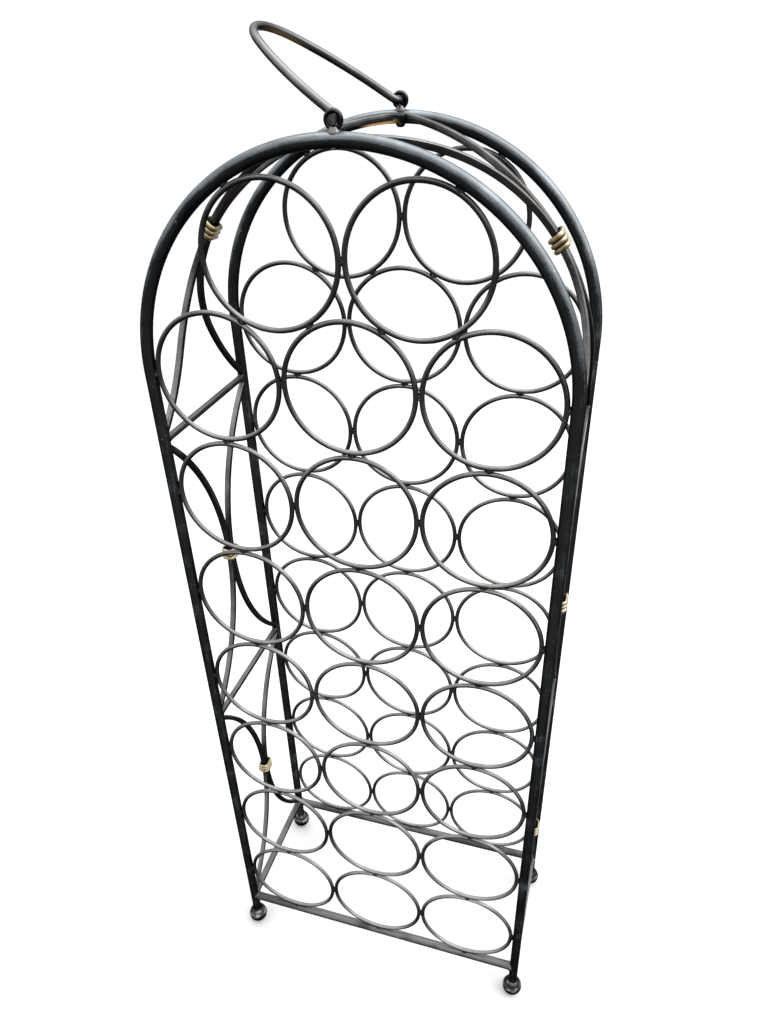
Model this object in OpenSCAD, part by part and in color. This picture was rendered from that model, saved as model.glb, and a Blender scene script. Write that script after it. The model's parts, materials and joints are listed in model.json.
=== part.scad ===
// Arched floor rack for 23 wine bottles: two arched frames with welded bottle rings,
// joined at the sides by bowed bars bound in pairs with brass wire, with a swinging bail
// handle. The origin is on the floor, midway between the four feet. +X is the viewer's
// right, +Y runs from the front frame to the rear frame, +Z is up.

/* [Bottle rings] */
// Outside diameter of one bottle ring
ring_outer_d = 101.6; // [80:0.2:125]
// Diameter of the ring wire
wire_d = 4; // [3:0.1:5]
// Gap between neighbouring wires, bridged by a weld bead
weld_gap = 0.4; // [0.2:0.1:1]
// Rows of three rings below the top pair
full_rows = 7; // [4:1:8]

/* [Frames] */
// Diameter of the round bar that the arched frames are bent from
frame_d = 9.5; // [7:0.1:12]
// Distance from the front frame to the rear frame, middle to middle
frame_depth = 143; // [115:1:175]
// Diameter of the bottom rails
rail_d = 9; // [7:0.1:9]
// Height of the bottom rails' middle above the floor
rail_z = 47; // [38:1:60]

/* [Side bars] */
// Side of the square bar
bar_w = 4.8; // [4:0.1:6]
// Chamfer on the bar's long edges
bar_edge = 0.7; // [0.3:0.1:1]
// Width of the flat bars that tie the feet together
tie_w = 7; // [5:0.1:9]

/* [Brass bindings] */
// Diameter of the brass wire
brass_d = 4; // [3:0.1:5]
// Turns of wire in each binding
brass_turns = 3; // [2:1:5]

/* [Feet] */
// Diameter of the ball feet
ball_d = 21; // [17:0.5:26]
// Height of the flat worn under each ball
ball_flat = 0.4; // [0.2:0.1:1]

/* [Handle] */
// Diameter of the handle's rod
rod_d = 5.5; // [4.5:0.1:6]
// Height of the bail above its pivots
bail_h = 88; // [75:1:110]
// Radius of the bail's top, at the middle of the rod
bail_top_r = 40; // [34:1:42]
// Inward lean of the bail's arms, in degrees
bail_taper = 7; // [4:0.5:10]
// Lean of the bail from upright, in degrees, towards the left
bail_lean = 57; // [0:1:100]
// Diameter of the eye's wire
eye_wire_d = 3.2; // [2.5:0.1:4]
// Clearance around the rod in the eye, on each side
eye_clear = 0.55; // [0.35:0.05:1]
// Diameter of the eye's shank, which is riveted through the arch
shank_d = 4; // [3:0.1:4.8]

/* [Hidden] */
$fn = 48;
iron = "#33373a";
dark_iron = "#26292b";
grey_iron = "#5c6063";
brass = "#9a8250";

// Gap of a tight fit, on each side
fit_gap = 0.05;

// Ring grid. The top pair nests in the row of three below it. With three columns the
// distance from the arch's centre to the outer rings and to the top pair is one pitch,
// so one arch touches all four.
pitch = ring_outer_d + weld_gap;
ring_r = (ring_outer_d - wire_d) / 2;
columns = [-pitch, 0, pitch];
row_count = full_rows + 1;
low_row_z = rail_z + rail_d / 2 + weld_gap + ring_outer_d / 2;
arch_z = low_row_z + (full_rows - 1) * pitch;
arch_r = pitch + ring_outer_d / 2 + weld_gap + frame_d / 2;
plane_y = frame_depth / 2;
bead_d = 1.3 * wire_d;
function row_z(k) = k == 1 ? arch_z + pitch * sin(60) : arch_z - (k - 2) * pitch;
function row_x(k) = k == 1 ? [-pitch / 2, pitch / 2] : columns;

// Side tiers. The run from the bottom rail, up a leg and over to the arch's top is cut
// into equal tiers, and every bowed bar spans one of them.
tier_names = ["lower", "middle", "upper"];
quarter_run = arch_r * PI / 2;
tier_h = (arch_z - rail_z + quarter_run) / len(tier_names);
function tier_mid(t) = rail_z + (t + 0.5) * tier_h;

// Bowed bars: circular arcs that meet back to back on the rack's middle plane and run
// out to the middle of a leg, just short of the tie or cross bar there.
end_rise = 0.75 * bar_w;
bow_half = tier_h / 2 - end_rise;
bow_depth = plane_y - bar_w / 2;
bow_r = (bow_half * bow_half + bow_depth * bow_depth) / (2 * bow_depth);
bow_angle = asin(bow_half / bow_r);
bow_steps = 36;

// Feet
ball_z = ball_d / 2 - ball_flat;
leg_end_z = ball_z + ball_d / 4;
collar_top_z = ball_z + ball_d / 2 + 2.5;
collar_wall = 1.2;

// Handle and eyes. The pins are forged a little thinner than the rod.
pin_d = rod_d - 0.4;
pin_root = 1.2;
rod_sides = 20;
elbow_steps = 6;
arm_steps = 9;
eye_hole_d = pin_d + 2 * eye_clear;
eye_r = (eye_hole_d + eye_wire_d) / 2;
eye_sink = 0.3;
eye_z = arch_z + arch_r + frame_d / 2 + eye_r + eye_wire_d / 2 - eye_sink;
neck_d = shank_d + 1.4;
rivet_d = shank_d + 3;
rivet_h = 2.4;
head_d = eye_hole_d + 1.6;
head_h = 1.5;
head_gap = 0.5;
pin_inside = 2.4;
elbow_r = 7;
pin_end_y = plane_y - eye_wire_d / 2 - pin_inside;
pin_out_y = plane_y + eye_wire_d / 2 + head_gap;
arm_y = pin_end_y - elbow_r * cos(bail_taper);
arm_z = elbow_r * (1 - sin(bail_taper));
top_z = bail_h - bail_top_r;
arm_rise = top_z - arm_z;
arm_r = (arm_y * arm_y + arm_rise * arm_rise - bail_top_r * bail_top_r)
    / (2 * (arm_y * cos(bail_taper) - arm_rise * sin(bail_taper) - bail_top_r));
arm_c = [arm_y - arm_r * cos(bail_taper), arm_z - arm_r * sin(bail_taper)];
arm_end = atan2(top_z - arm_c[1], -arm_c[0]);

// Names. A side is -1 for the front or left, +1 for the rear or right.
sides = [-1, 1];
function depth_name(s) = s < 0 ? "front" : "rear";
function hand_name(s) = s < 0 ? "left" : "right";
function row_name(s, k) = str(depth_name(s), "_rings_row_", k);
function bow_name(t, s, h) = str(tier_names[t], "_", depth_name(s), "_bowed_bar_", hand_name(h));
function bind_name(t, h) = str(tier_names[t], "_brass_binding_", hand_name(h));
function cross_name(t, h) = str(tier_names[t], "_cross_bar_", hand_name(h));
function foot_name(s, h) = str(depth_name(s), "_", hand_name(h), "_ball_foot");

// One leg's round bar, from the foot's socket up to the arch's springing
module leg_bar(side, hand) {
    translate([hand * arch_r, side * plane_y, leg_end_z])
        cylinder(d = frame_d, h = arch_z - leg_end_z);
}

// The half-round top of a frame
module arch_bar(side) {
    translate([0, side * plane_y, arch_z])
        rotate([90, 0, 0])
            rotate_extrude(angle = 180)
                translate([arch_r, 0])
                    circle(d = frame_d);
}

// Round bar bent into an arch with two straight legs, drilled at the top for the eye
module arched_frame(side) {
    color(iron)
        difference() {
            union() {
                arch_bar(side);
                for (hand = sides) leg_bar(side, hand);
            }
            translate([0, side * plane_y, arch_z + arch_r])
                cylinder(d = shank_d + 2 * fit_gap, h = 2 * frame_d, center = true);
        }
}

// Straight rail between the legs, its ends coped to the legs
module rail_bar(side) {
    translate([0, side * plane_y, rail_z])
        rotate([0, 90, 0])
            cylinder(d = rail_d, h = 2 * arch_r, center = true);
}

module bottom_rail(side) {
    color(grey_iron)
        difference() {
            rail_bar(side);
            for (hand = sides) leg_bar(side, hand);
        }
}

// One bottle ring, bent from round wire, in the plane of its frame
module bottle_ring(side, x, z) {
    translate([x, side * plane_y, z])
        rotate([90, 0, 0])
            rotate_extrude()
                translate([ring_r, 0])
                    circle(d = wire_d);
}

module ring_row(side, k) {
    color(grey_iron)
        for (x = row_x(k)) bottle_ring(side, x, row_z(k));
}

// A bead of weld at one contact, sunk into both of the pieces that it joins
module weld_bead(side, x, z) {
    translate([x, side * plane_y, z]) sphere(d = bead_d);
}

// The beads between one frame's rings: side by side, one above the other, and where the
// top pair nests in the row below
module ring_welds(side) {
    color(dark_iron) {
        for (k = [2 : row_count], hand = sides)
            weld_bead(side, hand * pitch / 2, row_z(k));
        for (k = [3 : row_count], x = columns)
            weld_bead(side, x, row_z(k) + pitch / 2);
        weld_bead(side, 0, row_z(1));
        for (x = row_x(1), step = sides)
            weld_bead(side, x + step * pitch / 4, (row_z(1) + row_z(2)) / 2);
    }
}

// The beads between the rings and one frame: to the legs, the arch and the rail
module frame_welds(side) {
    reach = pitch + (ring_outer_d + weld_gap) / 2;
    color(dark_iron) {
        for (k = [2 : row_count], hand = sides)
            weld_bead(side, hand * reach, row_z(k));
        for (angle = [60, 120])
            weld_bead(side, reach * cos(angle), arch_z + reach * sin(angle));
        for (x = columns)
            weld_bead(side, x, row_z(row_count) - (ring_outer_d + weld_gap) / 2);
    }
}

// Outline of the square bar, with its edges eased
function bar_outline(w, h) = let (e = bar_edge) [
    [w / 2 - e, -h / 2], [w / 2, -h / 2 + e], [w / 2, h / 2 - e], [w / 2 - e, h / 2],
    [-w / 2 + e, h / 2], [-w / 2, h / 2 - e], [-w / 2, -h / 2 + e], [-w / 2 + e, -h / 2]
];

// Straight bar from the front leg to the rear leg, coped to both
module depth_bar(hand, z, w) {
    difference() {
        translate([hand * arch_r, plane_y, z])
            rotate([90, 0, 0])
                linear_extrude(frame_depth) polygon(bar_outline(w, bar_w));
        for (side = sides) leg_bar(side, hand);
    }
}

module cross_bar(tier, hand) {
    color(grey_iron) depth_bar(hand, rail_z + (tier + 1) * tier_h, bar_w);
}

module bottom_tie_bar(hand) {
    color(grey_iron)
        difference() {
            depth_bar(hand, rail_z, tie_w);
            for (side = sides) rail_bar(side);
        }
}

// Bowed bar beside the straight part of the legs: an arc of square bar in a vertical
// plane, its crown on the middle plane and its ends coped to one leg
module straight_bowed_bar(tier, side, hand) {
    difference() {
        translate([hand * arch_r, side * (bar_w / 2 + bow_r), tier_mid(tier)])
            rotate([90, 0, 90])
                rotate([0, 0, (side < 0 ? 0 : 180) - bow_angle])
                    rotate_extrude(angle = 2 * bow_angle)
                        translate([bow_r, 0])
                            polygon(bar_outline(bar_w, bar_w));
        leg_bar(side, hand);
    }
}

// A point of the top tier's bowed bar. The same arc is laid on the upright plane of the
// legs and carried on round the arch: run is the height along the leg, then round the
// arch, and out is the distance from the legs' plane.
function wrapped(run, y, out, hand) =
    let (r = arch_r + out, turn = (run - arch_z) / arch_r * 180 / PI)
    run < arch_z ? [hand * r, y, run] : [hand * r * cos(turn), y, arch_z + r * sin(turn)];

module wrapped_bowed_bar(tier, side, hand) {
    outline = bar_outline(bar_w, bar_w);
    corners = len(outline);
    points = [
        for (i = [0 : bow_steps], p = outline)
            let (a = bow_angle * (2 * i / bow_steps - 1), r = bow_r + p[0])
            wrapped(tier_mid(tier) + r * sin(a), side * (bar_w / 2 + bow_r - r * cos(a)), p[1], hand)
    ];
    walls = [
        for (i = [0 : bow_steps - 1], j = [0 : corners - 1])
            let (a = i * corners + j, b = i * corners + (j + 1) % corners)
            [a, b, b + corners, a + corners]
    ];
    ends = [
        [for (j = [corners - 1 : -1 : 0]) j],
        [for (j = [0 : corners - 1]) bow_steps * corners + j]
    ];
    faces = [for (f = concat(walls, ends)) side * hand > 0 ? f : [for (i = [len(f) - 1 : -1 : 0]) f[i]]];
    difference() {
        polyhedron(points, faces, convexity = 6);
        leg_bar(side, hand);
        arch_bar(side);
    }
}

module bowed_bar(tier, side, hand) {
    color(iron)
        if (tier < 2) straight_bowed_bar(tier, side, hand);
        else wrapped_bowed_bar(tier, side, hand);
}

// One turn of brass wire, drawn tight round a back-to-back pair of bars
module brass_turn() {
    corner_r = brass_d / 2 + bar_edge;
    straight_x = bar_w / 2 - bar_edge;
    straight_y = bar_w - bar_edge + fit_gap;
    for (sx = sides, sy = sides)
        translate([sx * straight_x, sy * straight_y])
            rotate([0, 0, sx > 0 ? (sy > 0 ? 0 : 270) : (sy > 0 ? 90 : 180)])
                rotate_extrude(angle = 90)
                    translate([corner_r, 0])
                        circle(d = brass_d);
    for (sx = sides)
        translate([sx * (straight_x + corner_r), 0])
            rotate([90, 0, 0])
                cylinder(d = brass_d, h = 2 * straight_y, center = true);
    for (sy = sides)
        translate([0, sy * (straight_y + corner_r)])
            rotate([0, 90, 0])
                cylinder(d = brass_d, h = 2 * straight_x, center = true);
}

module brass_binding(tier, hand) {
    run = tier_mid(tier);
    turn = max(0, (run - arch_z) / arch_r * 180 / PI);
    color(brass)
        translate([hand * arch_r * cos(turn), 0, min(run, arch_z) + arch_r * sin(turn)])
            rotate([0, -hand * turn, 0])
                for (i = [0 : brass_turns - 1])
                    translate([0, 0, (i - (brass_turns - 1) / 2) * (brass_d + fit_gap)])
                        brass_turn();
}

// Ball foot with a collar and a socket for the end of the leg
module ball_foot(side, hand) {
    color(grey_iron)
        translate([hand * arch_r, side * plane_y, 0])
            difference() {
                union() {
                    intersection() {
                        translate([0, 0, ball_z]) sphere(d = ball_d);
                        cylinder(d = 2 * ball_d, h = ball_d);
                    }
                    translate([0, 0, ball_z])
                        cylinder(
                            h = collar_top_z - ball_z,
                            r1 = ball_d * 0.42,
                            r2 = frame_d / 2 + collar_wall
                        );
                }
                translate([0, 0, leg_end_z])
                    cylinder(d = frame_d + 2 * fit_gap, h = ball_d);
            }
}

// Eye for the handle: a ring on a saddle-shaped neck, its shank riveted under the arch
module handle_eye(side) {
    crown_z = arch_z + arch_r;
    neck_top_z = eye_z - eye_hole_d / 2 - eye_wire_d / 2;
    color(dark_iron)
        translate([0, side * plane_y, 0]) {
            difference() {
                union() {
                    translate([0, 0, eye_z])
                        rotate([90, 0, 0])
                            rotate_extrude()
                                translate([eye_r, 0])
                                    circle(d = eye_wire_d);
                    translate([0, 0, crown_z])
                        cylinder(d = neck_d, h = neck_top_z - crown_z);
                    translate([0, 0, crown_z - frame_d / 2 - rivet_h])
                        cylinder(d = rivet_d, h = frame_d / 2 + rivet_h);
                }
                translate([0, -side * plane_y, 0]) arch_bar(side);
            }
            translate([0, 0, crown_z - frame_d / 2 - rivet_h / 2])
                cylinder(d = shank_d, h = frame_d + rivet_h);
        }
}

// The bail's centre line in its own upright plane, from the front pin over to the rear
// pin, as [y, z, way], where way is the outward direction at that point. It runs along
// an elbow, an arm and half of the round top, and back down the other side.
function arc_points(c, r, from, to, steps) = [
    for (i = [0 : steps - 1])
        let (a = from + (to - from) * i / steps)
        [c[0] + r * cos(a), c[1] + r * sin(a), a]
];
rear_half = concat(
    [for (p = arc_points([pin_end_y, elbow_r], elbow_r, 270, 180 + bail_taper, elbow_steps))
        [p[0], p[1], p[2] - 180]],
    arc_points(arm_c, arm_r, bail_taper, arm_end, arm_steps),
    arc_points([0, top_z], bail_top_r, arm_end, 90, arm_steps)
);
bail_line = concat(
    rear_half,
    [[0, bail_h, 90]],
    [for (i = [len(rear_half) - 1 : -1 : 0]) let (p = rear_half[i]) [-p[0], p[1], 180 - p[2]]]
);

// Rod swept along the bail's centre line
module bail_rod() {
    corner = 360 / rod_sides;
    rings = len(bail_line);
    points = [
        for (p = bail_line, j = [0 : rod_sides - 1])
            let (out = rod_d / 2 * cos(j * corner), across = rod_d / 2 * sin(j * corner))
            [across, p[0] + out * cos(p[2]), p[1] + out * sin(p[2])]
    ];
    walls = [
        for (i = [0 : rings - 2], j = [0 : rod_sides - 1])
            let (a = i * rod_sides + j, b = i * rod_sides + (j + 1) % rod_sides)
            [a, b, b + rod_sides, a + rod_sides]
    ];
    first = [for (j = [rod_sides - 1 : -1 : 0]) j];
    last = [for (j = [0 : rod_sides - 1]) (rings - 1) * rod_sides + j];
    polyhedron(points, concat(walls, [first, last]), convexity = 6);
}

// Bail handle: a rod with two bowed arms and a round top. Its ends turn out into pins,
// which pass through the eyes and are hammered into heads.
module bail_handle() {
    color(iron)
        translate([0, 0, eye_z])
            rotate([0, -bail_lean, 0]) {
                bail_rod();
                for (side = sides)
                    rotate([-90 * side, 0, 0]) {
                        translate([0, 0, pin_end_y - pin_root])
                            cylinder(d = pin_d, h = pin_out_y - pin_end_y + pin_root + head_h);
                        translate([0, 0, pin_out_y])
                            cylinder(d = head_d, h = head_h);
                        translate([0, 0, pin_out_y + head_h])
                            cylinder(d1 = head_d, d2 = head_d / 2, h = head_h);
                    }
            }
}

for (s = sides) {
    arched_frame(s);
    bottom_rail(s);
    ring_welds(s);
    frame_welds(s);
    handle_eye(s);
    for (k = [1 : row_count])
        ring_row(s, k);
    for (h = sides)
        ball_foot(s, h);
    for (t = [0 : 2], h = sides)
        bowed_bar(t, s, h);
}
for (h = sides) {
    bottom_tie_bar(h);
    for (t = [0, 1])
        cross_bar(t, h);
    for (t = [0 : 2])
        brass_binding(t, h);
}
bail_handle();
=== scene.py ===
import json
import math

import bmesh
import bpy
import numpy as np
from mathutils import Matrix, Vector, noise


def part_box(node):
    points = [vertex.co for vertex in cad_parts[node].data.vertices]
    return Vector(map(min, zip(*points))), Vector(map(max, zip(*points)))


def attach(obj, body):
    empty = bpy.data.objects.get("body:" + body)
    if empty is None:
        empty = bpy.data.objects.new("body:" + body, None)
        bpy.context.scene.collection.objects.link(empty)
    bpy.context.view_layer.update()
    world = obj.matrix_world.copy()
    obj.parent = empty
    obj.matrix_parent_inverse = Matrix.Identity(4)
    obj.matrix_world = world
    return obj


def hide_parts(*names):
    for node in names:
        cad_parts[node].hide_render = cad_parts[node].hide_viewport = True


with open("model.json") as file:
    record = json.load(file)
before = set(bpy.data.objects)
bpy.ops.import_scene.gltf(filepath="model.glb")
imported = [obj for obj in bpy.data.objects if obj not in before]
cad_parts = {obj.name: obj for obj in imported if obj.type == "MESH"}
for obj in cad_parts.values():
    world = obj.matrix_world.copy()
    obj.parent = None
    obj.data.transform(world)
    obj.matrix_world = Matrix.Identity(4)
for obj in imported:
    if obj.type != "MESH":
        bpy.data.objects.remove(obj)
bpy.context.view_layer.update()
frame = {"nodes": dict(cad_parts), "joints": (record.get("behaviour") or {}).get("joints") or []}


# Arched frames. Each is one round iron bar, bent cold into two legs and a half-round top,
# then dipped in graphite lacquer. Its colour holds painted light: a pewter highlight on the faces
# that look up, and painted shade beneath.

front_low, front_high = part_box("front_arched_frame")
rear_low, rear_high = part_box("rear_arched_frame")
bar_d = front_high.y - front_low.y
arch_r = front_high.x - bar_d / 2
arch_z = front_high.z - bar_d / 2 - arch_r
leg_end_z = front_low.z
planes = {
    "front": (front_low.y + front_high.y) / 2,
    "rear": (rear_low.y + rear_high.y) / 2,
}


class Tone:
    """A value in a material. Sums written with + - and * add their own nodes."""

    def __init__(self, finish, socket):
        self.finish = finish
        self.socket = socket

    def __add__(self, other):
        return self.finish.math("ADD", self, other)

    def __radd__(self, other):
        return self.finish.math("ADD", other, self)

    def __sub__(self, other):
        return self.finish.math("SUBTRACT", self, other)

    def __rsub__(self, other):
        return self.finish.math("SUBTRACT", other, self)

    def __mul__(self, other):
        return self.finish.math("MULTIPLY", self, other)

    def __rmul__(self, other):
        return self.finish.math("MULTIPLY", other, self)


class Finish:
    """One surface finish, put together node by node."""

    def __init__(self, name):
        self.material = bpy.data.materials.new(name)
        self.material.use_nodes = True
        self.tree = self.material.node_tree
        self.tree.nodes.clear()

    def node(self, kind, settings=None, inputs=None, out=0):
        """Any node: its type, its settings, what its sockets hold, and what to read."""
        made = self.tree.nodes.new("ShaderNode" + kind)
        for key, value in (settings or {}).items():
            if key == "stops":
                ramp = made.color_ramp.elements
                while len(ramp) < len(value):
                    ramp.new(0.5)
                for stop, (place, shade) in zip(ramp, value):
                    stop.position = place
                    stop.color = shade
            else:
                setattr(made, key, value)
        for key, value in (inputs or {}).items():
            if isinstance(value, Tone):
                self.tree.links.new(value.socket, made.inputs[key])
            else:
                made.inputs[key].default_value = value
        return Tone(self, made.outputs[out]) if made.outputs else None

    def math(self, operation, *values):
        return self.node("Math", {"operation": operation}, dict(enumerate(values)))

    def part(self, vector, axis):
        return self.node("SeparateXYZ", None, {0: vector}, axis)

    def scaled(self, place, scale):
        return self.node("VectorMath", {"operation": "MULTIPLY"}, {0: place, 1: scale})

    def grain(self, place, scale, detail=3.0, rough=0.55):
        return self.node(
            "TexNoise", None,
            {"Vector": place, "Scale": scale, "Detail": detail, "Roughness": rough},
        )

    def between(self, value, low, high):
        """A soft step from 0 at low to 1 at high."""
        return self.node(
            "MapRange", {"interpolation_type": "SMOOTHSTEP"},
            {"Value": value, "From Min": low, "From Max": high},
        )

    def mix(self, share, first, second):
        return self.node(
            "Mix", {"data_type": "RGBA"}, {0: share, 6: first, 7: second}, out=2
        )

    def relief(self, height, depth, strength, onto=None):
        inputs = {"Height": height, "Distance": depth, "Strength": strength}
        if onto is not None:
            inputs["Normal"] = onto
        return self.node("Bump", None, inputs)

    def surface(self, **sockets):
        words = {
            "color": "Base Color", "rough": "Roughness", "metal": "Metallic",
            "normal": "Normal", "gloss": "Specular IOR Level", "edge": "Specular Tint",
        }
        shader = self.node(
            "BsdfPrincipled", None, {words[k]: v for k, v in sockets.items()}
        )
        self.node("OutputMaterial", None, {"Surface": shader})
        return self.material


def lacquer_with_painted_light(name, below, level, above, rough, streak=0.5, dents=0.0, chips=0.0,
                   uneven=0.3, cool=0.0, warm=0.0, band=None, worn=None, dark_past=None):
    """Lacquered iron, with painted light in its colour: painted shade, near black, underneath
    and a painted pewter highlight on top.

    below, level and above are the painted shade and highlight where it faces down, sideways
    and up. It has drawn streaks along the bar, a fine speckle, hammer dents, a few pale chips,
    and uneven darker lengths. cool turns it towards blue, and warm adds brown patches. band is
    a slope, from 0 down to 1 up, a half width and a shade: a painted reflection lies there, in
    dapples. A brown spot, given as a place, a reach and a strength, turns the faces that look
    down bronze brown near that place. Between the two depths of dark_past it is black, and it
    is a little paler beyond them."""
    f = Finish(name)
    here = f.node("TexCoord", None, None, "Object")
    up = f.part(f.node("TexCoord", None, None, "Normal"), "Z")
    along = f.node("Attribute", {"attribute_name": "along"}, None, "Vector")
    patches = f.grain(here, 38.0, 4.0)
    speckle = f.grain(here, 1050.0, 2.0)
    draw = f.grain(f.scaled(along, (45.0, 1500.0, 1500.0)), 1.0, 3.0)

    # Painted light: this slope, from facing down to facing up, picks painted shade below and a
    # painted pewter highlight on top.
    painted_light_slope = up * 0.5 + 0.5 + (patches - 0.5) * 0.30 + (speckle - 0.5) * 0.16
    painted_light_slope = painted_light_slope + (draw - 0.5) * streak * 0.26
    tint = (1.0 - 0.06 * cool, 1.0, 0.99 + 0.05 * cool)
    halfway = level + (above - level) * 0.50
    shades = ((0.28, below), (0.53, level), (0.72, halfway), (0.93, above))
    stops = [(slope, tuple(shade * t for t in tint) + (1,)) for slope, shade in shades]
    color = f.node("ValToRGB", {"stops": stops}, {0: painted_light_slope})

    uneven_dark = 1 - f.between(f.grain(here, 21.0, 3.0, 0.6), 0.40, 0.58)
    color = f.mix(uneven_dark * uneven, color, (0.010, 0.010, 0.011, 1))
    flake = f.node(
        "TexVoronoi", {"feature": "F1"}, {"Vector": here, "Scale": 130.0}, "Distance"
    )
    bare = (1 - f.between(flake, 0.03, 0.10)) * f.between(patches, 0.48, 0.62)
    bare = bare * f.between(up, -0.5, 0.4) * chips
    color = f.mix(bare, color, (0.50, 0.50, 0.48, 1))
    # Painted reflection: a dappled bright band at one slope of the facing.
    if band:
        slope, half_width, shade = band
        painted_sheen = f.between(painted_light_slope, slope - half_width, slope)
        painted_sheen = painted_sheen * (1 - f.between(painted_light_slope, slope, slope + half_width))
        dapple = f.between(f.grain(here, 150.0, 2.0, 0.6), 0.44, 0.60)
        sheen_color = (shade, shade * 1.01, shade * 1.01, 1)
        color = f.mix(painted_sheen * (dapple * 0.85 + 0.15), color, sheen_color)
    if warm:
        bloom = f.grain(f.scaled(here, (1.0, 1.0, 1.3)), 17.0, 2.0)
        color = f.mix(f.between(bloom, 0.54, 0.70) * warm, color, (0.13, 0.075, 0.035, 1))
    # A bronze-brown spot on the faces that look down, near one place.
    if worn:
        place, reach, strength = worn
        away = f.node("VectorMath", {"operation": "DISTANCE"}, {0: here, 1: place}, "Value")
        near = 1 - f.between(away + (patches - 0.5) * 0.006, reach * 0.35, reach)
        share = near * f.between(up, 0.05, -0.6) * strength
        color = f.mix(share, color, (0.52, 0.31, 0.14, 1))
    if dark_past:
        inner, outer = dark_past
        depth = f.math("ABSOLUTE", f.part(here, "Y"))
        dark = f.between(depth, inner - 0.002, inner) * 0.9
        color = f.mix(dark, color, (0.004, 0.004, 0.004, 1))
        paler = f.between(depth, outer - 0.0001, outer + 0.0001)
        color = f.mix(paler, color, (0.045, 0.047, 0.05, 1))

    normal = f.relief(speckle * 0.35 + draw * streak * 0.8, 0.00012, 0.7)
    if dents:
        hammer = f.node(
            "TexVoronoi", {"feature": "SMOOTH_F1"},
            {"Vector": here, "Scale": 210.0, "Smoothness": 0.8}, "Distance",
        )
        normal = f.relief(hammer, 0.0009 * dents, 0.8, normal)
    return f.surface(
        color=color,
        rough=rough + (speckle - 0.5) * 0.24 + (patches - 0.5) * 0.12,
        metal=0.94,
        gloss=0.12,
        edge=(0.25, 0.26, 0.27, 1),
        normal=normal,
    )


def outline_round(radius, sides):
    """A circle's corners, anticlockwise."""
    turn = np.arange(sides) * 2 * math.pi / sides
    return radius * np.stack([np.cos(turn), np.sin(turn)], 1)


def wavering(points, scale, seed):
    """One slow, small irregularity for each point, between -1 and 1."""
    return np.array([noise.noise(Vector(p) * scale + Vector((seed, 0, 0))) for p in points])


def swept(points, outward, across, outline, closed=False, swell=None):
    """The skin of a bar whose outline is carried along points. outward and across are
    the outline's two directions at each point. The outline is one for the whole bar,
    which swell scales at each point, or a list with one for each point."""
    points, outward, across = (np.asarray(a, float) for a in (points, outward, across))
    outline = np.asarray(outline, float)
    count, sides = len(points), outline.shape[-2]
    swell = np.ones(count) if swell is None else swell
    shape = outline[None] * swell[:, None, None] if outline.ndim == 2 else outline
    skin = (points[:, None] + outward[:, None] * shape[..., :1]
            + across[:, None] * shape[..., 1:])
    steps = np.linalg.norm(np.diff(points, axis=0), axis=1)
    length = np.concatenate([[0], np.cumsum(steps)])
    along = np.concatenate([np.repeat(length[:, None, None], sides, 1), shape], 2)
    i = np.arange(count if closed else count - 1)[:, None]
    j = np.arange(sides)[None]
    a, b = i * sides + j, i * sides + (j + 1) % sides
    c, d = ((i + 1) % count) * sides + (j + 1) % sides, ((i + 1) % count) * sides + j
    faces = np.stack([a, b, c, d], -1).reshape(-1, 4).tolist()
    if not closed:
        faces.append(list(range(sides))[::-1])
        faces.append([(count - 1) * sides + k for k in range(sides)])
    return skin.reshape(-1, 3), faces, along.reshape(-1, 3)


def piece(name, skins, finish, sharp=40):
    """One named object made from one or more closed skins."""
    verts, faces, along, base = [], [], [], 0
    for skin, skin_faces, skin_along in skins:
        verts.append(skin)
        along.append(skin_along)
        faces.extend([[base + k for k in face] for face in skin_faces])
        base += len(skin)
    mesh = bpy.data.meshes.new(name)
    mesh.from_pydata(np.concatenate(verts).tolist(), [], faces)
    runs = mesh.attributes.new("along", "FLOAT_VECTOR", "POINT")
    runs.data.foreach_set("vector", np.concatenate(along).astype(np.float32).ravel())
    shape = bmesh.new()
    shape.from_mesh(mesh)
    bmesh.ops.recalc_face_normals(shape, faces=shape.faces)
    shape.to_mesh(mesh)
    shape.free()
    mesh.shade_smooth()
    mesh.set_sharp_from_angle(angle=math.radians(sharp))
    mesh.materials.append(finish)
    made = bpy.data.objects.new(name, mesh)
    bpy.context.scene.collection.objects.link(made)
    return made


def frame_line(y, leg_steps=70, arch_steps=150):
    """The bar's centre line, up the right leg, over and down the left, and its outside."""
    rise = np.linspace(leg_end_z, arch_z, leg_steps, endpoint=False)
    turn = np.linspace(0, math.pi, arch_steps)
    right = [(arch_r, y, z) for z in rise]
    top = [(arch_r * math.cos(a), y, arch_z + arch_r * math.sin(a)) for a in turn]
    left = [(-arch_r, y, z) for z in rise[::-1]]
    outward = ([(1, 0, 0)] * leg_steps + [(math.cos(a), 0, math.sin(a)) for a in turn]
               + [(-1, 0, 0)] * leg_steps)
    return np.array(right + top + left), np.array(outward)


# Bronze brown on the rear arch's underside, near its eye.
bronze_spot_place = (-0.016, planes["rear"] - 0.003, arch_z + arch_r - 0.004)
frame_finish = lacquer_with_painted_light(
    "graphite_frame_bar", below=0.003, level=0.016, above=0.46,
    rough=0.41, streak=0.8, chips=0.8, cool=1.5, worn=(bronze_spot_place, 0.017, 0.85),
)
for end, y in planes.items():
    line, outward = frame_line(y)
    swell = 1 + 0.006 * wavering(line, 28, y * 50) - 0.004
    frame_bar = piece(
        end + "_arched_frame_bar",
        [swept(line, outward, np.tile((0, 1, 0), (len(line), 1)), outline_round(bar_d / 2, 32),
               swell=swell)],
        frame_finish,
    )
    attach(frame_bar, "rack_frame")
    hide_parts(end + "_arched_frame")


# Bottom rails. A slightly thinner round bar in each frame, cut to length and welded
# between the legs a little way above the floor. They lie bare to the light.

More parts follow.
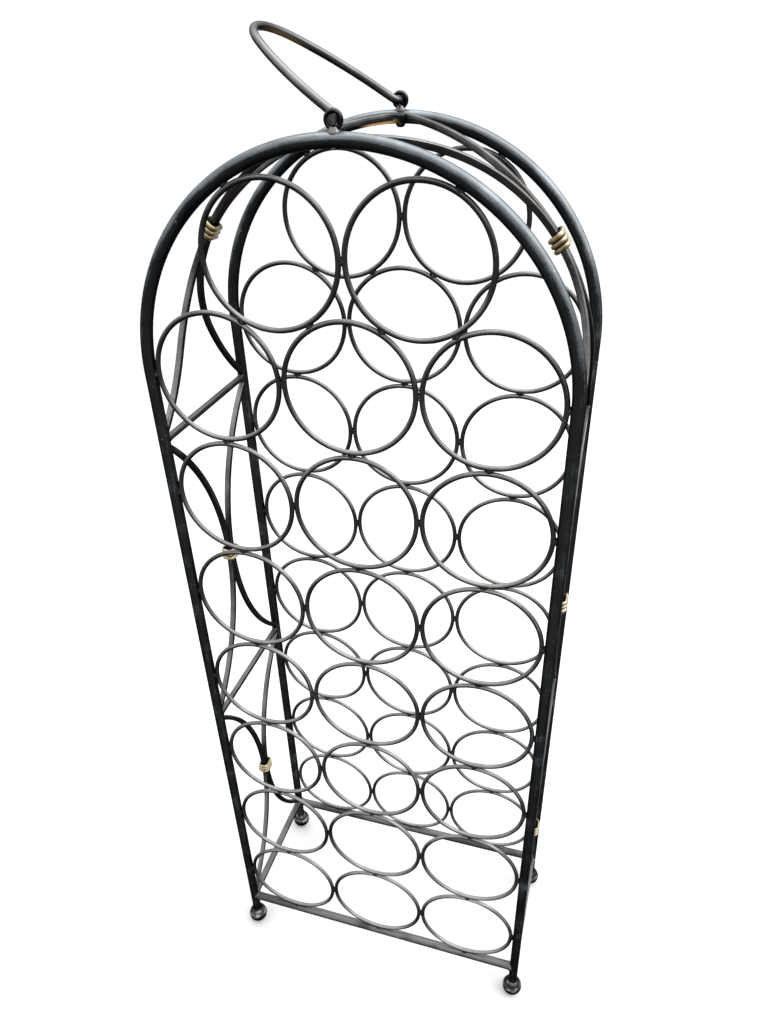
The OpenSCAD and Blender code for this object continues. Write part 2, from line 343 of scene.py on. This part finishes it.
rail_finish = lacquer_with_painted_light(
    "graphite_rail", below=0.003, level=0.016, above=0.23,
    rough=0.38, streak=1.1, chips=0.3, uneven=0.55,
)
inside_r = arch_r - bar_d / 2
weld_run = 0.006
weld_bite = bar_d * 0.25


def weld_flare(distance, reach, height, seed):
    """How much a bar swells where its weld runs up the leg that it meets."""
    ripple = 1 + 0.35 * wavering([(d * 900, seed, 0) for d in distance], 1.0, seed)
    return 1 + height * np.exp(-np.maximum(distance, 0) / reach) * ripple


def stations(stop, steps):
    """Places from -stop to stop along a bar, close together where its welds run up it."""
    fine = np.linspace(0, weld_run, 12)[:-1]
    plain = np.linspace(-stop + weld_run, stop - weld_run, steps)
    return np.concatenate([-stop + fine, plain, stop - fine[::-1]])


for end, y in planes.items():
    low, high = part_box(end + "_bottom_rail")
    rail_d = high.z - low.z
    rail_z = (low.z + high.z) / 2
    x = stations(arch_r - weld_bite, 90)
    line = np.stack([x, np.full_like(x, y), np.full_like(x, rail_z)], 1)
    swell = weld_flare(inside_r - np.abs(x), reach=0.0012, height=0.17, seed=y * 9)
    swell = swell * (1 + 0.008 * wavering(line, 60, 3.0)) - 0.004
    rail = piece(
        end + "_bottom_rail_bar",
        [swept(line, np.tile((0, 0, 1), (len(x), 1)), np.tile((0, 1, 0), (len(x), 1)),
               outline_round(rail_d / 2, 28), swell=swell)],
        rail_finish,
    )
    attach(rail, "rack_frame")
    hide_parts(end + "_bottom_rail")


# Bottle rings. Round wire wound on a former, cut into single rings, and closed with a
# butt weld that is ground nearly flush. They stand in rows inside each frame.

ring_finish = lacquer_with_painted_light(
    "lacquered_ring_wire", below=0.003, level=0.028, above=0.42,
    rough=0.38, streak=0.5, chips=0.25,
)
row_names = sorted(n for n in frame["nodes"] if n.startswith("front_rings_row_"))
ring_centres = []
butt_weld = 0.0022


def ring_skin(x, y, z, radius, wire_r, seam, steps=112, sides=16):
    """One ring, a little swollen at its butt weld, which is at the angle seam."""
    turn = seam + np.arange(steps) * 2 * math.pi / steps
    outward = np.stack([np.cos(turn), np.zeros(steps), np.sin(turn)], 1)
    gap = np.minimum(np.arange(steps), steps - np.arange(steps)) * 2 * math.pi / steps * radius
    line = np.array((x, y, z)) + outward * radius
    swell = 1 + 0.07 * np.exp(-((gap / butt_weld) ** 2)) + 0.012 * wavering(line, 80, seam)
    across = np.tile((0, 1, 0), (steps, 1))
    return swept(line, outward, across, outline_round(wire_r, sides), True, swell - 0.008)


for front_row in row_names:
    for end, y in planes.items():
        row = front_row.replace("front", end)
        low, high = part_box(row)
        outer_d, wire_d = high.z - low.z, high.y - low.y
        count = round((high.x - low.x) / outer_d)
        z = (low.z + high.z) / 2
        skins = []
        for x in np.linspace(low.x + outer_d / 2, high.x - outer_d / 2, count):
            if end == "front":
                ring_centres.append((x, z))
            seam = -math.pi / 2 + 0.5 * noise.noise(Vector((x * 31, y * 17, z * 23)))
            skins.append(ring_skin(x, y, z, (outer_d - wire_d) / 2, wire_d / 2, seam))
        rings = piece(row + "_wire", skins, ring_finish)
        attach(rings, "rack_frame")
        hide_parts(row)


# Weld beads. A lump of weld metal at every touch between two rings, and between a ring
# and its leg, arch or rail. They are left as laid, darker and rougher than the wire.

def weld_metal(name):
    f = Finish(name)
    here = f.node("TexCoord", None, None, "Object")
    lumps = f.grain(here, 700.0, 4.0, 0.65)
    scale = f.grain(here, 160.0, 2.0)
    color = f.mix(f.between(lumps, 0.42, 0.68), (0.006, 0.006, 0.007, 1), (0.07, 0.069, 0.066, 1))
    color = f.mix(f.between(scale, 0.55, 0.75) * 0.4, color, (0.06, 0.036, 0.020, 1))
    return f.surface(
        color=color,
        rough=0.42 + lumps * 0.25,
        metal=0.9,
        gloss=0.12,
        edge=(0.25, 0.25, 0.25, 1),
        normal=f.relief(lumps, 0.0005, 0.9),
    )


weld_finish = weld_metal("laid_weld")
bead_r = wire_d * 0.66
touch = 0.001
ring_pairs = [(a, b) for i, a in enumerate(ring_centres) for b in ring_centres[:i]]
pitch = min(math.dist(a, b) for a, b in ring_pairs)
between_rings = [
    ((a[0] + b[0]) / 2, (a[1] + b[1]) / 2, math.atan2(b[1] - a[1], b[0] - a[0]))
    for a, b in ring_pairs if math.dist(a, b) < pitch + touch
]
reach = pitch / 2
to_frame = []
for x, z in ring_centres:
    if inside_r - abs(x) < reach + touch and z < arch_z + touch:
        to_frame.append((x + math.copysign(reach, x), z, 0.0))
    if z > arch_z + touch and inside_r - math.hypot(x, z - arch_z) < reach + touch:
        angle = math.atan2(z - arch_z, x)
        to_frame.append((x + reach * math.cos(angle), z + reach * math.sin(angle), angle))
    if z - rail_z - rail_d / 2 < reach + touch:
        to_frame.append((x, z - reach, math.pi / 2))


def bead_skin(x, y, z, angle, size):
    """A lump whose long way lies along the crevice between the two pieces."""
    shape = bmesh.new()
    bmesh.ops.create_icosphere(shape, subdivisions=3, radius=1.0)
    over = Vector((math.cos(angle), 0, math.sin(angle)))
    along = Vector((-math.sin(angle), 0, math.cos(angle)))
    skin = []
    for vert in shape.verts:
        n = vert.co.normalized()
        lump = 1 + 0.16 * noise.noise(n * 1.7 + Vector((x * 97, y * 53, z * 71)))
        lump += 0.05 * noise.noise(n * 6 + Vector((z * 91, x * 37, y)))
        local = over * n.x * 0.95 + Vector((0, n.y, 0)) * 0.92 + along * n.z * 1.22
        skin.append(Vector((x, y, z)) + local * size * lump)
    faces = [[v.index for v in face.verts] for face in shape.faces]
    shape.free()
    skin = np.array(skin)
    return skin, faces, skin - np.array((x, y, z))


for end, y in planes.items():
    for node, places in (("_ring_welds", between_rings), ("_frame_welds", to_frame)):
        beads = piece(
            end + node + "_beads",
            [bead_skin(x, y, z, angle, bead_r) for x, z, angle in places],
            weld_finish,
        )
        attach(beads, "rack_frame")
        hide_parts(end + node)


# Cross bars and tie bars. Square bar, with flat bar at the bottom, that runs from the
# front leg to the rear leg on each side. Saw-cut, set between the legs and welded.

bar_finish = lacquer_with_painted_light(
    "lacquered_square_bar", below=0.005, level=0.040, above=0.24,
    rough=0.46, streak=0.9, dents=0.35, chips=0.2,
)


def outline_bar(width, height, edge, steps=3):
    """A rectangle with rounded edges, anticlockwise."""
    points = []
    for sx, sy, start in ((1, 1, 0), (-1, 1, 90), (-1, -1, 180), (1, -1, 270)):
        for k in range(steps + 1):
            a = math.radians(start + 90 * k / steps)
            points.append((sx * (width / 2 - edge) + edge * math.cos(a),
                           sy * (height / 2 - edge) + edge * math.sin(a)))
    return np.array(points)


half_depth = planes["rear"]
sawn_edge = 0.0007
for node in sorted(n for n in frame["nodes"] if "_cross_bar_" in n or "_tie_bar_" in n):
    low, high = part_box(node)
    x, z = (low.x + high.x) / 2, (low.z + high.z) / 2
    y = stations(half_depth - weld_bite, 40)
    line = np.stack([np.full_like(y, x), y, np.full_like(y, z)], 1)
    to_leg = half_depth - bar_d / 2 - np.abs(y)
    swell = weld_flare(to_leg, reach=0.0013, height=0.22, seed=x + z)
    swell = swell * (1 + 0.012 * wavering(line, 70, z * 40)) - 0.008
    tie = piece(
        node + "_iron",
        [swept(line, np.tile((1, 0, 0), (len(y), 1)), np.tile((0, 0, 1), (len(y), 1)),
               outline_bar(high.x - low.x, high.z - low.z, sawn_edge), swell=swell)],
        bar_finish,
    )
    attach(tie, "rack_frame")
    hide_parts(node)


# Bowed bars. The same square bar, bowed over a former into shallow C shapes that stand
# back to back in pairs. The top pair on each side is bent once more, round the arch.

bow_finish = lacquer_with_painted_light(
    "lacquered_bowed_bar", below=0.004, level=0.024, above=0.40,
    rough=0.42, streak=1.0, dents=0.4, chips=0.2, warm=0.06,
)
low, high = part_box("lower_front_bowed_bar_right")
side_w = high.x - low.x
bow_edge = 0.0008
tier_h = 2 * ((low.z + high.z) / 2 - rail_z)
tier_end = 0.75 * side_w
bow_half = tier_h / 2 - tier_end
bow_depth = half_depth - side_w / 2
bow_r = (bow_half ** 2 + bow_depth ** 2) / (2 * bow_depth)
bow_angle = math.asin(bow_half / bow_r)


def side_place(run, y, hand, out=0.0):
    """A point on the rack's side: run is the height up the leg, then round the arch."""
    turn = max(0.0, (run - arch_z) / arch_r)
    r = arch_r + out
    return np.array((hand * r * math.cos(turn), y, min(run, arch_z) + r * math.sin(turn)))


def side_ways(run, y, hand):
    """The directions out of the rack's side and up along it, at one point."""
    out = (side_place(run, y, hand, 0.01) - side_place(run, y, hand)) * 100
    up = side_place(run + 1e-4, y, hand) - side_place(run - 1e-4, y, hand)
    return out, up / np.linalg.norm(up)


for tier, tier_name in enumerate(("lower", "middle", "upper")):
    for end, way in (("front", -1), ("rear", 1)):
        for side, hand in (("left", -1), ("right", 1)):
            mid = rail_z + (tier + 0.5) * tier_h
            line, outward, across = [], [], []
            for a in np.linspace(-bow_angle, bow_angle, 90):
                run = mid + bow_r * math.sin(a)
                y = way * (side_w / 2 + bow_r - bow_r * math.cos(a))
                out, up = side_ways(run, y, hand)
                line.append(side_place(run, y, hand))
                outward.append(up * math.sin(a) - np.array((0, way, 0)) * math.cos(a))
                across.append(out)
            swell = 1 + 0.016 * wavering(line, 90, tier + hand + way) - 0.012
            node = f"{tier_name}_{end}_bowed_bar_{side}"
            bow = piece(
                node + "_iron",
                [swept(line, outward, across, outline_bar(side_w, side_w, bow_edge), swell=swell)],
                bow_finish,
            )
            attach(bow, "rack_frame")
            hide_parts(node)


# Brass bindings. Soft round wire wound tight round each pair of bars where they touch,
# three turns, with the cut ends pressed flat into the corner. It has aged to dull gold.

def aged_brass(name):
    """Painted highlight where the wire faces up, olive at its sides and painted shade where it
    faces down; near black on its inner side and down between the turns.
    """
    f = Finish(name)
    here = f.node("TexCoord", None, None, "Object")
    up = f.part(f.node("TexCoord", None, None, "Normal"), "Z")
    along = f.node("Attribute", {"attribute_name": "along"}, None, "Vector")
    out = f.part(along, "Y")
    tarnish = f.grain(here, 150.0, 3.0, 0.5)
    fine = f.grain(f.scaled(along, (160.0, 2200.0, 2200.0)), 1.0, 2.0)
    # Near black on the wire's inner side and sides, down between the turns, and rougher there.
    outer_side = f.between(out * 600 + (tarnish - 0.5) * 0.9, -0.25, 1.0)
    # Painted light: the facing slope picks painted shade below and a painted highlight above.
    light = up * 0.5 + 0.5 + (tarnish - 0.5) * 0.30 + (fine - 0.5) * 0.14
    color = f.node("ValToRGB", {"stops": [
        (0.22, (0.020, 0.014, 0.006, 1)), (0.46, (0.115, 0.082, 0.036, 1)),
        (0.66, (0.32, 0.25, 0.135, 1)), (0.90, (0.74, 0.66, 0.47, 1)),
    ]}, {0: light})
    color = f.mix(outer_side, (0.010, 0.007, 0.003, 1), color)
    return f.surface(
        color=color,
        rough=0.26 + (1 - outer_side) * 0.25 + (fine - 0.5) * 0.2,
        metal=0.95,
        normal=f.relief(fine * 0.6 + tarnish * 0.4, 0.00008, 0.5),
    )


brass_finish = aged_brass("aged_brass_wire")
low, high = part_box("lower_brass_binding_right")
brass_turns = 3
turn_slack = 0.0247
brass_d = (high.z - low.z) / (brass_turns + turn_slack)
wound_turns = brass_turns - 0.12
wire_steps = 300
corner = brass_d / 2 + sawn_edge
flat_x = (high.x - low.x - brass_d) / 2 - corner
flat_y = (high.y - low.y - brass_d) / 2 - corner


def loop_place(share):
    """A point on the rounded loop round both bars, with its outward direction."""
    lengths = [2 * flat_y, math.pi / 2 * corner, 2 * flat_x, math.pi / 2 * corner] * 2
    walks = (
        (1, -1, 0), (1, 1, 0), (1, 1, 90), (-1, 1, 90),
        (-1, 1, 180), (-1, -1, 180), (-1, -1, 270), (1, -1, 270),
    )
    s = (share % 1.0) * sum(lengths)
    for k, length in enumerate(lengths):
        if s <= length:
            break
        s -= length
    sx, sy, start = walks[k]
    straight = k % 2 == 0
    a = math.radians(start) + (0 if straight else s / corner)
    n = np.array((math.cos(a), math.sin(a)))
    onward = np.array((-n[1], n[0])) * (s if straight else 0)
    return np.array((sx * flat_x, sy * flat_y)) + n * corner + onward, n


for tier, tier_name in enumerate(("lower", "middle", "upper")):
    for side, hand in (("left", -1), ("right", 1)):
        run = rail_z + (tier + 0.5) * tier_h
        centre = side_place(run, 0, hand)
        out, up = side_ways(run, 0, hand)
        start = 0.06 + 0.11 * tier + 0.2 * (hand > 0)
        line, outward, across = [], [], []
        for t in np.linspace(0, wound_turns, wire_steps):
            (a, b), (na, nb) = loop_place(start + t)
            lift = (t - wound_turns / 2) * brass_d
            line.append(centre + out * a + np.array((0, 1, 0)) * b + up * lift)
            outward.append(out * na + np.array((0, 1, 0)) * nb)
            across.append(up)
        step = np.arange(wire_steps)
        ends = np.minimum(step, wire_steps - 1 - step) / wire_steps * wound_turns * 0.04
        swell = 1 - 0.28 * np.exp(-ends / 0.0009) + 0.014 * wavering(line, 160, tier)
        node = f"{tier_name}_brass_binding_{side}"
        wrap = piece(
            node + "_wire",
            [swept(line, outward, across, outline_round(brass_d / 2, 18), swell=swell - 0.012)],
            brass_finish,
        )
        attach(wrap, "rack_frame")
        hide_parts(node)


# Ball feet. Turned iron balls with a short collar, pushed over the leg ends and held by
# the lacquer. They are planished all over, with a painted reflection in a dappled band above the
# middle.

# The band is a painted reflection on the balls; below, level and above are painted shade and
# highlight.
foot_finish = lacquer_with_painted_light(
    "planished_foot", below=0.003, level=0.008, above=0.012,
    rough=0.20, streak=0.0, dents=1.2, chips=0.25, band=(0.72, 0.15, 0.38),
)


def turned(profile, centre, sides=48, waver=0.0):
    """The skin of a piece turned on an upright axis, from bottom to top."""
    profile = np.asarray(profile, float)
    count = len(profile)
    line = np.stack([np.full(count, centre[0]), np.full(count, centre[1]), profile[:, 1]], 1)
    ring = outline_round(1.0, sides)
    outline = ring[None] * profile[:, 0, None, None]
    if waver:
        for i in range(count):
            for j in range(sides):
                spot = Vector((*(line[i, :2] + outline[i, j]), profile[i, 1]))
                outline[i, j] *= 1 + waver * noise.noise(spot * 330)
    return swept(line, np.tile((1, 0, 0), (count, 1)), np.tile((0, 1, 0), (count, 1)), outline)


worn_flat = 0.0004
neck_starts = math.radians(42)
collar_h = 0.0012
collar_wall = 0.0009
for node in sorted(n for n in frame["nodes"] if n.endswith("_ball_foot")):
    low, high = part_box(node)
    x, y = (low.x + high.x) / 2, (low.y + high.y) / 2
    ball_r = (high.x - low.x) / 2
    ball_z = ball_r - worn_flat
    profile = [(math.sqrt(ball_r ** 2 - ball_z ** 2), 0.0)]
    for a in np.linspace(math.asin(-ball_z / ball_r), neck_starts, 34)[1:]:
        profile.append((ball_r * math.cos(a), ball_z + ball_r * math.sin(a)))
    neck_r, neck_z = bar_d / 2 + collar_wall, high.z - collar_h
    r0, z0 = profile[-1]
    for t in np.linspace(0, 1, 10)[1:]:
        profile.append((r0 + (neck_r - r0) * (1 - (1 - t) ** 2), z0 + (neck_z - z0) * t))
    profile += [(neck_r + 0.0003, neck_z + 0.0004), (neck_r + 0.0001, high.z - 0.0002),
                (neck_r - 0.0006, high.z), (bar_d / 2 - 0.0015, high.z)]
    ball = piece(node + "_turned", [turned(profile, (x, y), waver=0.012)], foot_finish)
    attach(ball, "rack_frame")
    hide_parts(node)


# Handle eyes. A ring of round wire on a short neck at the crown of each arch, its shank
# passed through the bar and hammered over below. The neck is a piece of its own, laid
# on with weld metal and filed bright.

eye_finish = lacquer_with_painted_light(
    "eye_iron", below=0.003, level=0.010, above=0.16,
    rough=0.36, streak=0.3, dents=0.6, chips=1.0,
)
neck_finish = lacquer_with_painted_light(
    "filed_eye_neck", below=0.010, level=0.12, above=0.36,
    rough=0.34, streak=0.2, dents=0.9, chips=1.0,
)
neck_shape = [
    (0.0002, -0.0016), (0.0038, -0.0012), (0.0039, -0.0004), (0.0036, 0.0002),
    (0.0033, 0.0008), (0.0030, 0.0015), (0.0024, 0.0024), (0.0002, 0.0026),
]
eye_wire = 0.0032
base_z = arch_z + arch_r + bar_d / 2
under_z = arch_z + arch_r - bar_d / 2
pivot_z = [j for j in frame["joints"] if j["name"] == "bail_swing"][0]["pos_m"][2]
steps = 80
turn = np.arange(steps) * 2 * math.pi / steps
outward = np.stack([np.cos(turn), np.zeros(steps), np.sin(turn)], 1)
across = np.tile((0, 1, 0), (steps, 1))
for end, y in planes.items():
    low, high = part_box(end + "_handle_eye")
    line = np.array((0, y, pivot_z)) + outward * (high.z - pivot_z - eye_wire / 2)
    swell = 1 + 0.05 * wavering(line, 200, y * 30)
    swell = swell + 0.10 * np.exp(-((turn - 1.5 * math.pi) / 0.5) ** 2) - 0.05
    loop = swept(line, outward, across, outline_round(eye_wire / 2, 20), True, swell)
    neck = turned([(r, base_z + z) for r, z in neck_shape], (0, y), 28, 0.10)
    drop = (under_z - low.z) * (0.25 if end == "front" else 1.0)
    dome = turned(
        [(0.0002, under_z - drop), (0.0016, under_z - drop * 0.95),
         (0.0028, under_z - drop * 0.7), (0.0034, under_z - drop * 0.3),
         (0.0035, under_z), (0.0030, under_z + 0.0010), (0.0002, under_z + 0.0016)],
        (0, y), 28, 0.08,
    )
    eye = piece(end + "_handle_eye_iron", [loop, dome], eye_finish)
    collar = piece(end + "_handle_eye_neck", [neck], neck_finish)
    for made in (eye, collar):
        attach(made, "rack_frame")
        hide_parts(end + "_handle_eye")


# Bail handle. One round rod bent to a tall hoop, its ends turned outwards through the
# eyes and hammered into four-sided heads. It is satin grey, with painted highlight on top
# and painted shade below, and a little brown on the underside near the top.

# Brown on the handle's underside, near its top.
brown_spot_place = (-0.070, 0.018, 0.928)
handle_finish = lacquer_with_painted_light(
    "satin_handle_rod", below=0.005, level=0.050, above=0.38,
    rough=0.34, streak=0.5, chips=0.3, cool=0.3, worn=(brown_spot_place, 0.030, 0.13),
    dark_past=(half_depth - 0.001, half_depth + 0.0031),
)
rod_r = 0.00275
lean = math.radians(57)
to_top = np.array((-math.sin(lean), 0, math.cos(lean)))
handle_side = np.array((math.cos(lean), 0, math.sin(lean)))
bail_h, top_r, elbow_r, taper = 0.088, 0.040, 0.007, math.radians(7)
pin_inside = 0.0024
pin_y = half_depth - eye_wire / 2 - pin_inside
head_gap = 0.0005
head_y = half_depth + eye_wire / 2 + head_gap
tip_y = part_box("bail_handle")[1].y - 0.0004
shoulder = 0.42
arm_y, arm_z = pin_y - elbow_r * math.cos(taper), elbow_r * (1 - math.sin(taper))
rise = bail_h - top_r - arm_z
arm_r = (arm_y ** 2 + rise ** 2 - top_r ** 2) / (
    2 * (arm_y * math.cos(taper) - rise * math.sin(taper) - top_r))
arm_c = (arm_y - arm_r * math.cos(taper), arm_z - arm_r * math.sin(taper))
arm_end = math.atan2(bail_h - top_r - arm_c[1], -arm_c[0])


def arc(centre, radius, start, stop, steps, flip=0.0):
    """Places along an arc, each with the angle of the rod's outside there."""
    return [
        (centre[0] + radius * math.cos(a), centre[1] + radius * math.sin(a), a + flip)
        for a in np.linspace(start, stop, steps)
    ]


def hammered(ring, share):
    """A head's outline, from its four-sided shoulder at 0 to its small tip at 1."""
    if share < shoulder:
        spread, square = 1.22 - 0.30 * min(share, 0.4), 0.02
    else:
        spread, square = 0.68 - 0.50 * (share - shoulder) / (1 - shoulder), -0.20
    around = np.arctan2(ring[:, 1], ring[:, 0])
    return ring * (spread * (1 - square * np.cos(4 * around)))[:, None]


half = [(y, 0.0, math.pi / 2) for y in np.linspace(tip_y, pin_y, 16)[:-1]]
half += arc((pin_y, elbow_r), elbow_r, 1.5 * math.pi, math.pi + taper, 16, -math.pi)[:-1]
half += arc(arm_c, arm_r, taper, arm_end, 50)[:-1]
half += arc((0, bail_h - top_r), top_r, arm_end, math.pi / 2, 40)
rod = half + [(-y, z, math.pi - a) for y, z, a in half[-2::-1]]
pivot = np.array((0, 0, pivot_z))
line = np.array([pivot + np.array((0, y, 0)) + to_top * z for y, z, a in rod])
outward = np.array([np.array((0, math.cos(a), 0)) + to_top * math.sin(a) for y, z, a in rod])
ring = outline_round(rod_r, 32)
outline = np.repeat(ring[None], len(rod), 0)
for i, (y, z, a) in enumerate(rod):
    if z <= 0 and abs(y) > head_y - 1e-5:
        outline[i] = hammered(ring, (abs(y) - head_y) / (tip_y - head_y))
    elif z <= 0:
        outline[i] = ring * 0.93
swell = 1 + 0.010 * wavering(line, 70, 5.0) - 0.006
outline = outline * swell[:, None, None]
hoop = piece(
    "bail_handle_rod",
    [swept(line, outward, np.tile(handle_side, (len(rod), 1)), outline)],
    handle_finish, sharp=50,
)
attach(hoop, "handle")
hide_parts("bail_handle")


# The studio: a plain pale floor that runs out of sight, soft light from a wide panel
# overhead and a window on the right, and a camera where a standing viewer holds it.

far = 9
floor_mesh = bpy.data.meshes.new("floor")
floor_mesh.from_pydata(
    [(-far, -far, 0), (far, -far, 0), (far, far, 0), (-far, far, 0)], [], [(0, 1, 2, 3)]
)
floor = bpy.data.objects.new("floor", floor_mesh)
bpy.context.scene.collection.objects.link(floor)
paper = Finish("pale_paper")
floor_mesh.materials.append(paper.surface(color=(0.95, 0.95, 0.95, 1), rough=0.9, metal=0.0))

world = bpy.data.worlds.new("studio")
world.use_nodes = True
sky = world.node_tree.nodes["Background"]
sky.inputs["Color"].default_value = (1, 1, 1, 1)
sky.inputs["Strength"].default_value = 1.06
bpy.context.scene.world = world


def panel(name, place, aim, size, power):
    light = bpy.data.lights.new(name, "AREA")
    light.shape = "RECTANGLE"
    light.size, light.size_y = size
    light.energy = power
    lamp = bpy.data.objects.new(name, light)
    lamp.location = place
    lamp.rotation_euler = (Vector(aim) - Vector(place)).to_track_quat("-Z", "Y").to_euler()
    bpy.context.scene.collection.objects.link(lamp)


panel("overhead", (0.2, 0.3, 2.6), (0, 0, 0.4), (2.4, 2.0), 18)
panel("right_window", (1.75, 0.1, 1.95), (0, 0, 0.65), (2.3, 1.9), 30)

lens = bpy.data.cameras.new("viewer")
lens.sensor_fit = "HORIZONTAL"
lens.sensor_width = 36.0
lens.lens = 36.53
lens.shift_x = 0.0051
lens.shift_y = 0.0304
lens.clip_start = 0.01
viewer = bpy.data.objects.new("viewer", lens)
viewer.location = (0.17942, -0.55565, 0.92591)
viewer.rotation_euler = [math.radians(a) for a in (57.1066, 1.7308, 17.1200)]
bpy.context.scene.collection.objects.link(viewer)
bpy.context.scene.camera = viewer
bpy.context.scene.view_settings.view_transform = "Standard"
